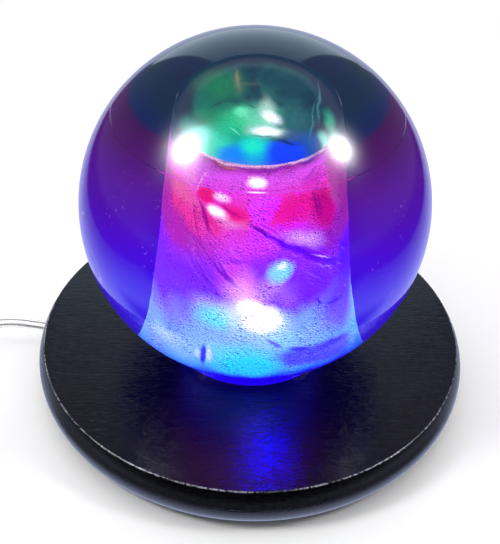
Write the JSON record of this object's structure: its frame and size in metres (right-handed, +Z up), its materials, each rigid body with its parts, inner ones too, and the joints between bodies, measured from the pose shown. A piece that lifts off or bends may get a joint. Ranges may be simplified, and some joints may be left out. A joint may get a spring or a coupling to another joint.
{
  "type": "ball lamp",
  "caption": "Table lamp: a tinted resin ball with a lit core on a round black wooden plate, with a clear flat cord, an inline rocker switch and a two-pin plug.",
  "frame": {"origin": "on the table under the middle of the wooden plate, the bottom centre of the lamp without its cord", "axes": "+Z up, -Y the front that the picture shows, -X the side where the cord leaves the plate"},
  "size_m": [0.3215, 0.2513, 0.1693],
  "materials": {
    "stained_wood": "black stain under semi-gloss lacquer, fine grain",
    "fibre_board": "matt black fibre board",
    "tinted_resin": "polished, transparent, tinted blue and violet",
    "clear_silicone": "clear, glossy",
    "crumpled_film": "translucent film, crumpled, lit from inside",
    "white_board": "white solder mask",
    "aluminium_post": "brushed",
    "white_plastic": "satin moulded plastic",
    "green_board": "green solder mask",
    "black_plastic": "matt moulded plastic",
    "clear_cord": "clear insulation over two stranded cores",
    "copper_wire": "tinned copper in thin insulation",
    "red_insulation": "satin",
    "black_insulation": "satin",
    "steel": "nickel plated",
    "brass": "plain",
    "felt_pad": "matt black foam rubber",
    "blue_led": "lens over white package",
    "pink_led": "lens over white package",
    "red_led": "lens over white package",
    "green_led": "lens over white package"
  },
  "bodies": {
    "lamp": {"base_cover": "fibre_board", "base_plate": "stained_wood", "board_screw_1": "steel", "board_screw_2": "steel", "board_screw_3": "steel", "clamp_screw_1": "steel", "clamp_screw_2": "steel", "coil_tie": "black_plastic", "cord_clamp": "black_plastic", "cord_coil": "clear_cord", "cord_inner": "clear_cord", "cord_to_coil": "clear_cord", "cord_to_switch": "clear_cord", "cover_screw_1": "steel", "cover_screw_2": "steel", "cover_screw_3": "steel", "cover_screw_4": "steel", "driver_capacitor": "black_plastic", "driver_case": "white_plastic", "driver_circuit": "green_board", "driver_lid": "white_plastic", "driver_transformer": "black_plastic", "film_cap": "crumpled_film", "film_sleeve": "crumpled_film", "foot_pad_1": "felt_pad", "foot_pad_2": "felt_pad", "foot_pad_3": "felt_pad", "foot_pad_4": "felt_pad", "led_blue_1": "blue_led", "led_blue_2": "blue_led", "led_blue_3": "blue_led", "led_board": "white_board", "led_green_top": "green_led", "led_lead_1": "red_insulation", "led_lead_2": "black_insulation", "led_pink_1": "pink_led", "led_pink_2": "pink_led", "led_pink_3": "pink_led", "led_post": "aluminium_post", "led_red_1": "red_led", "led_red_2": "red_led", "led_red_3": "red_led", "mains_lead_1": "copper_wire", "mains_lead_2": "copper_wire", "plug_body": "white_plastic", "plug_pin_1": "steel", "plug_pin_2": "steel", "resin_ball": "tinted_resin", "rocker_pin": "steel", "seat_ring": "clear_silicone", "switch_contact": "brass", "switch_lower_shell": "white_plastic", "switch_screw_1": "steel", "switch_screw_2": "steel", "switch_upper_shell": "white_plastic", "terminal_block": "white_plastic"},
    "rocker": {"switch_rocker": "white_plastic"}
  },
  "joints": [
    {"name": "rocker_tilt", "type": "hinge", "parent": "lamp", "child": "rocker", "pos_m": [-0.204, 0.0387, 0.0115], "axis": [1, 0, 0], "range_deg": [0, 22]}
  ]
}
